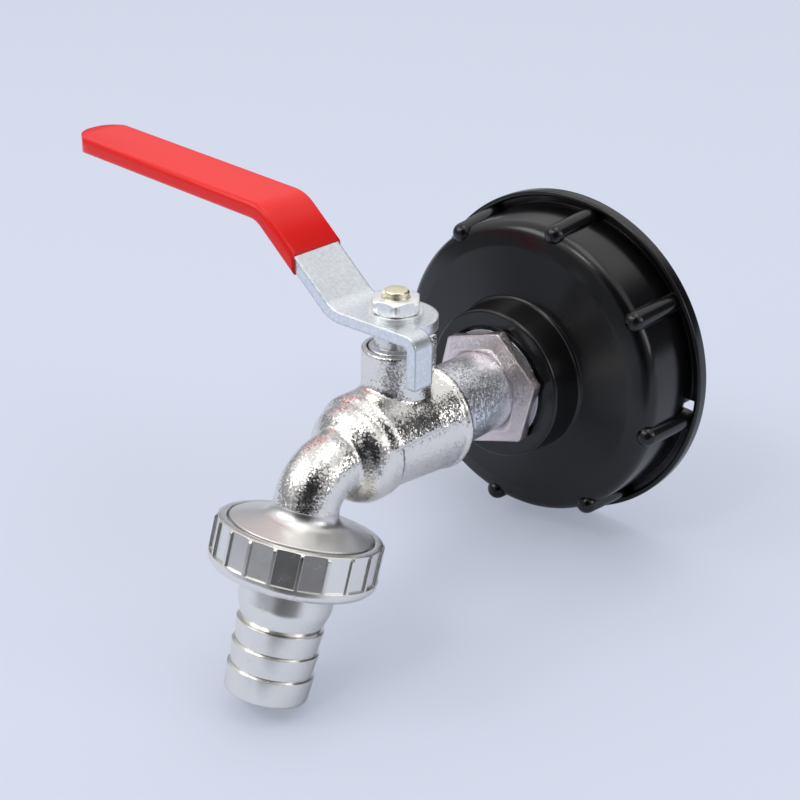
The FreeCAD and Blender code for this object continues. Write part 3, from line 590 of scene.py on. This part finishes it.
bend_sweep = math.pi - spout_turn
bend_start = (BALL.x - spout_start.x) / MM - BEND_R * math.sin(bend_sweep)
in_ball_frame = at_ball.inverted() @ on_spout
spout_in_body = Matrix.Translation(in_ball_frame.translation / MM) @ in_ball_frame.to_3x3().to_4x4()

casting = bmesh.new()
turn_profile(casting, [
    (BODY_REAR, 0), (BODY_REAR, PAD_R, 0.5), (BODY_REAR - 1.5, 12.65, 0.3),
    (BODY_REAR - 1.9, BARREL_R), (-WAIST, 10.45, 0.6), (-9.4, BULGE_R, 0.5),
    (-BULGE_END, BULGE_R, 5.5),
    (-TUBE_START, TUBE_R, 1.3), (-bend_start - 0.5, TUBE_R), (-bend_start - 0.5, 0)], steps=160)
saddle = rounded([
    (PAD_REAR, 6), (PAD_REAR, PAD_R, 0.4), (-PAD_FRONT, PAD_R, 3.0), (-13.4, 11.0), (-13.4, 6)])
saddle_half = math.acos(PAD_EDGE_HEIGHT / PAD_R)
side = [casting.verts.new((p.x, 0, p.y)) for p in saddle]
loop = [casting.edges.new((side[i - 1], side[i])) for i in range(len(side))]
bmesh.ops.rotate(casting, verts=side, cent=(0, 0, 0), matrix=Matrix.Rotation(saddle_half, 3, "X"))
bmesh.ops.spin(
    casting, geom=side + loop, cent=(0, 0, 0), axis=(1, 0, 0), angle=-2 * saddle_half, steps=96)
bmesh.ops.holes_fill(casting, edges=[e for e in casting.edges if e.is_boundary], sides=0)
before = set(casting.verts)
turn_profile(casting, [
    (PAD_EDGE_HEIGHT, 0), (PAD_EDGE_HEIGHT, BOSS_R), (BOSS_TOP, BOSS_R, 0.5), (BOSS_TOP, 0)])
place_fresh(casting, before, Matrix.Rotation(math.radians(-90), 4, "Y"))
before = set(casting.verts)
bmesh.ops.create_cube(casting, size=1)
place_fresh(casting, before, Matrix.Translation(STOP_RIB_MIDDLE) @ Matrix.Diagonal(STOP_RIB_SIZE))
ring = bmesh.ops.create_circle(casting, cap_ends=False, segments=96, radius=TUBE_R)["verts"]
bmesh.ops.transform(
    casting, verts=ring,
    matrix=Matrix.Translation((-bend_start, 0, 0)) @ Matrix.Rotation(math.radians(90), 4, "Y"))
ring_edges = list({e for v in ring for e in v.link_edges})
bmesh.ops.spin(
    casting, geom=ring + ring_edges, cent=(-bend_start, 0, -BEND_R), axis=(0, -1, 0),
    angle=bend_sweep, steps=24)
bmesh.ops.holes_fill(casting, edges=[e for e in casting.edges if e.is_boundary], sides=0)
before = set(casting.verts)
turn_profile(casting, [
    (-0.5, 0), (-0.5, TUBE_R), (4.5, TUBE_R), (4.5, 0)], steps=96)
place_fresh(casting, before, spout_in_body)

# Tumbled and nickel plated brass casting: bright, with salt and pepper specks where its small
# facets mirror the dark and the light parts of the room side by side.
cast_nickel = plated_metal("tumbled_nickel_casting", "#eae7e2", 0.21, 0.32, 0.13, edge=0.6)
VOXEL = 0.3
TUMBLING = 3
casting = join_solids("tap_casting", casting, VOXEL, TUMBLING)
ROOT_HEIGHTS = (8, 15.5)
ROOT_RADII = (6.7, 10)
ROOT_SOFTENING = 40
boss_root = [
    v for v in casting.verts if ROOT_HEIGHTS[0] < v.co.z < ROOT_HEIGHTS[1]
    and ROOT_RADII[0] < math.hypot(v.co.x, v.co.y) < ROOT_RADII[1]]
for i in range(ROOT_SOFTENING):
    bmesh.ops.smooth_vert(
        casting, verts=boss_root, factor=0.5, use_axis_x=True, use_axis_y=True, use_axis_z=True)
body = make_piece("tap_casting", casting, at_ball, cast_nickel, 180)
BORE_R = 5.0
POCKET_R = 8.95
hollows = [
    ([(SEAT_FACE, 0), (SEAT_FACE, 10.2), (BODY_REAR + 1, 10.2), (BODY_REAR + 1, 0)], at_ball),
    ([(-16.0, 0), (-16.0, BORE_R), (-SEAT_FACE, BORE_R), (-SEAT_FACE, POCKET_R),
      (SEAT_FACE + 0.3, POCKET_R), (SEAT_FACE + 0.3, 0)], at_ball),
    ([(BOSS_TOP - 2.5, 0), (BOSS_TOP - 2.5, 6.2), (BOSS_TOP + 1, 6.2), (BOSS_TOP + 1, 0)], on_stem),
    ([(6.0, 0), (6.0, BORE_R), (BOSS_TOP, BORE_R), (BOSS_TOP, 0)], on_stem),
    ([(-4.0, 0), (-4.0, BORE_R), (SPOUT_END + 1, BORE_R), (SPOUT_END + 1, 0)], on_spout),
]
for corners, place in hollows:
    tool = bmesh.new()
    turn_profile(tool, corners, steps=64)
    cut_away(body, make_piece("hollow", tool, place, cast_nickel))
body.data.shade_smooth()
body.data.set_sharp_from_angle(angle=math.radians(50))
fit_piece(body, "tap_body", ["valve_body"])

THREAD_R = 16.0
THREAD_PITCH = 2.309
# Turned and nickel plated brass: a smooth soft mirror.
turned_nickel = plated_metal("turned_nickel", "#ebe9e4", 0.24, edge=0.2, uneven=0.04)
THREAD_DEPTH = 1.0
FOOT_ROUND = 3.2
disc = [
    (0.5, BORE_R), (0.5, TUBE_R + 0.03), (3.0, TUBE_R + 0.03, FOOT_ROUND),
    (3.8, TUBE_R + FOOT_ROUND, FOOT_ROUND), (5.3, 15.8, 0.3)]
for i in range(2):
    root = 6.1 + i * THREAD_PITCH
    disc += [(root, THREAD_R - THREAD_DEPTH), (root + 0.7, THREAD_R), (root + 1.1, THREAD_R),
             (root + 1.9, THREAD_R - THREAD_DEPTH)]
disc += [(SPOUT_END, THREAD_R - 1.2), (SPOUT_END, BORE_R)]
spout_disc = bmesh.new()
turn_profile(spout_disc, disc, steps=192)
# The disc's face was turned coarser than its thread, so it is satin.
satin_nickel = plated_metal("satin_nickel_disc", "#e2e1df", 0.36, 0.3, 0.02, edge=0.2)
spout_face = make_piece("spout_disc", spout_disc, on_spout, satin_nickel)
fit_piece(spout_face, "tap_body", [])


# Ball, seats and stem: a plated brass ball between white fluoropolymer rings, turned by a
# brass spindle. Its seals sit under the gland nut in the boss.
def fluoropolymer():
    """White moulded seal plastic: waxy and half matt."""
    made, tree = new_material("fluoropolymer")
    place = add(tree, "TexCoord").outputs["Object"]
    mottle = add(tree, "TexNoise", Vector=place, Scale=1 / (1.2 * MM), Detail=4.0, Roughness=0.6)
    tone = add(
        tree, "MixRGB", _0=mottle.outputs["Fac"], _1=linear("#e6e5df"), _2=linear("#f2f1ec"))
    shader = add(
        tree, "BsdfPrincipled", Base_Color=tone.outputs[0], Roughness=0.45, IOR=1.35,
        Subsurface_Weight=0.1, Subsurface_Radius=(0.001, 0.001, 0.001))
    return finish_material(made, shader.outputs[0])


seal = fluoropolymer()
# The polished and chromed ball is a clear mirror, the turned brass spindle a warm satin, and
# the nickelled gland nut a soft grey mirror.
chrome = plated_metal("polished_ball_chrome", "#e3e3e4", 0.06, edge=0.2, uneven=0.02)
brass = plated_metal("turned_brass", "#fdf4d4", 0.34, 0.3, 0.06, edge=0.15)
gland_metal = plated_metal("nickel_gland", "#e2e1de", 0.28, 0.4, 0.06, edge=0.15)
dress_node("ball", "lever_set", chrome)
for node in ("seat_inlet", "seat_outlet", "stem_washer", "stem_packing"):
    dress_node(node, "tap_body", seal)

THREAD_START = 28.3
STEM_TOP = 34.3
STUD_R = 3.0
spindle = cad_copy("stem")
everything = spindle.verts[:] + spindle.edges[:] + spindle.faces[:]
bmesh.ops.bisect_plane(
    spindle, geom=everything, plane_co=(0, 0, THREAD_START - 0.1), plane_no=(0, 0, 1),
    clear_outer=True)
bmesh.ops.holes_fill(spindle, edges=[e for e in spindle.edges if e.is_boundary], sides=0)
thread = [(THREAD_START - 0.6, 0), (THREAD_START - 0.6, STUD_R - 0.4)]
for i in range(5):
    crest = THREAD_START + 0.5 + i
    thread += [(crest - 0.4, STUD_R - 0.4), (crest - 0.1, STUD_R), (crest + 0.1, STUD_R),
               (crest + 0.4, STUD_R - 0.4)]
thread += [(STEM_TOP - 0.6, STUD_R - 0.1), (STEM_TOP, STUD_R - 0.6, 0.2), (STEM_TOP, 0)]
before = set(spindle.verts)
turn_profile(spindle, thread, steps=64)
place_fresh(
    spindle, before, Matrix.Translation(BALL / MM) @ Matrix.Rotation(math.radians(-90), 4, "Y"))
fit_piece(make_piece("spindle", spindle, Matrix(), brass), "lever_set", ["stem"])

gland = bmesh.new()
turn_profile(gland, [
    (15.3, 3.96), (15.3, 4.95), (19.1, 4.95), (19.1, 5.9), (21.4, 5.9, 0.6), (21.8, 4.6, 0.3),
    (25.3, 4.6, 0.4), (25.3, 3.96)], steps=96)
gland_nut = make_piece("gland", gland, on_stem, gland_metal)
fit_piece(gland_nut, "tap_body", ["gland_nut"])


# Lever: bright zinc plated strip, punched and bent twice, with a tab bent down as its stop.
# The washer and the hexagon nut that hold it are plated the same.
# Zinc on rolled strip: pale, faintly cloudy, with rounded bright edges. The nut's is more matt.
lever_zinc = plated_metal(
    "bright_zinc_strip", "#eef1f4", 0.36, 0.4, 0.03, edge=0.8, mottle="#e0e6ec")
nut_zinc = plated_metal("bright_zinc_nut", "#f8f9f9", 0.46, 0.4, 0.05, edge=0.35)
dress_node("lever", "lever_set", lever_zinc)
dress_node("lever_washer", "lever_set", nut_zinc)
dress_node("lever_nut", "lever_set", nut_zinc)


# Grip: a sleeve of red vinyl, left by dipping the warm lever, so it follows the strip
# closely, with round edges and a soft satin skin.
def dipped_vinyl():
    """Red vinyl as dipped: full colour, half gloss, with a slightly wavy skin."""
    made, tree = new_material("dipped_vinyl")
    place = add(tree, "TexCoord").outputs["Object"]
    wave = add(tree, "TexNoise", Vector=place, Scale=1 / (5.0 * MM), Detail=2.0, Roughness=0.6)
    edges = add(tree, "Bevel", {"samples": 6}, Radius=0.6 * MM)
    bump = add(
        tree, "Bump", Height=wave.outputs["Fac"], Distance=0.05 * MM, Strength=0.6,
        Normal=edges.outputs[0])
    shader = add(
        tree, "BsdfPrincipled", Base_Color=linear("#f8221f"), Roughness=0.3, IOR=1.4,
        Normal=bump.outputs[0])
    return finish_material(made, shader.outputs[0])


dress_node("lever_grip", "lever_set", dipped_vinyl())


# Union nut: turned brass with a row of flats milled round its rim, nickel plated. It pulls
# the hose tail's flange and a rubber ring up against the spout.
NUT_TOP = 5.5
NUT_BOTTOM = 15.9
NUT_R = 18.4
NUT_FLATS = 20
FLAT_WIDTH = 5.0
FLAT_DEPTH = 0.6
NUT_LIP = 2.5
NUT_FIRST_ANGLE = 1.0
union = bmesh.new()
turn_profile(union, [
    (NUT_TOP, 16.05, 0.3), (NUT_TOP, NUT_R, 1.2), (NUT_BOTTOM - 1.1, NUT_R, 1.6),
    (NUT_BOTTOM, NUT_R - 1.1, 0.5), (NUT_BOTTOM, 10.9, 0.2), (NUT_BOTTOM - 1.7, 10.9),
    (NUT_BOTTOM - 1.7, 16.05)], steps=240)
union_nut = make_piece("union_ring", union, on_spout, turned_nickel)
flats = bmesh.new()
for i in range(NUT_FLATS):
    block = bmesh.ops.create_cube(flats, size=1)["verts"]
    length = NUT_BOTTOM - NUT_TOP - NUT_LIP + 1
    size = Matrix.Diagonal((length, FLAT_WIDTH, 2, 1))
    offset = Matrix.Translation((NUT_TOP - 1 + length / 2, 0, NUT_R - FLAT_DEPTH + 1))
    angle = math.radians(NUT_FIRST_ANGLE + i * 360 / NUT_FLATS)
    bmesh.ops.transform(flats, matrix=Matrix.Rotation(angle, 4, "X") @ offset @ size, verts=block)
cut_away(union_nut, make_piece("flat_cutters", flats, on_spout, turned_nickel))
union_nut.data.shade_smooth()
union_nut.data.set_sharp_from_angle(angle=math.radians(30))
fit_piece(union_nut, "nut_set", ["union_nut"])


# Hose tail: turned brass with three saw-tooth barbs that hold the hose, nickel plated. Its
# flange sits in the union nut, on a moulded rubber washer.
BARB_START = 26.8
BARB_PITCH = 5.2
BARB_COUNT = 3
TAIL_END = 43.3
tail = bmesh.new()
tail_corners = [
    (12.4, 7.2), (12.4, 15.2), (14.15, 15.2), (14.15, 10.3), (22.4, 10.3, 4.0), (BARB_START, 8.8)]
for i in range(BARB_COUNT):
    edge = BARB_START + i * BARB_PITCH
    tail_corners.append((edge + 0.15, 9.65, 0.1))
    if i < BARB_COUNT - 1:
        tail_corners.append((edge + BARB_PITCH, 9.0))
tail_corners += [(TAIL_END, 9.2, 0.9), (TAIL_END, 7.2, 0.2)]
turn_profile(tail, tail_corners, steps=192)
barbed_tail = make_piece("barbed_tail", tail, on_spout, turned_nickel, 24)
fit_piece(barbed_tail, "tail_set", ["hose_tail"])


def moulded_rubber():
    """Black moulded rubber: dull, with a faint bloom."""
    made, tree = new_material("moulded_rubber")
    place = add(tree, "TexCoord").outputs["Object"]
    bloom = add(tree, "TexNoise", Vector=place, Scale=1 / (2.0 * MM), Detail=4.0, Roughness=0.6)
    tone = add(
        tree, "MixRGB", _0=bloom.outputs["Fac"], _1=linear("#1b1b1b"), _2=linear("#2a2a29"))
    shader = add(tree, "BsdfPrincipled", Base_Color=tone.outputs[0], Roughness=0.7, IOR=1.5)
    return finish_material(made, shader.outputs[0])


rubber = moulded_rubber()
dress_node("tail_washer", "tail_set", rubber)
dress_node("tank_gasket", "tap_body", rubber)
dress_node("nipple_gasket", "tap_body", rubber)
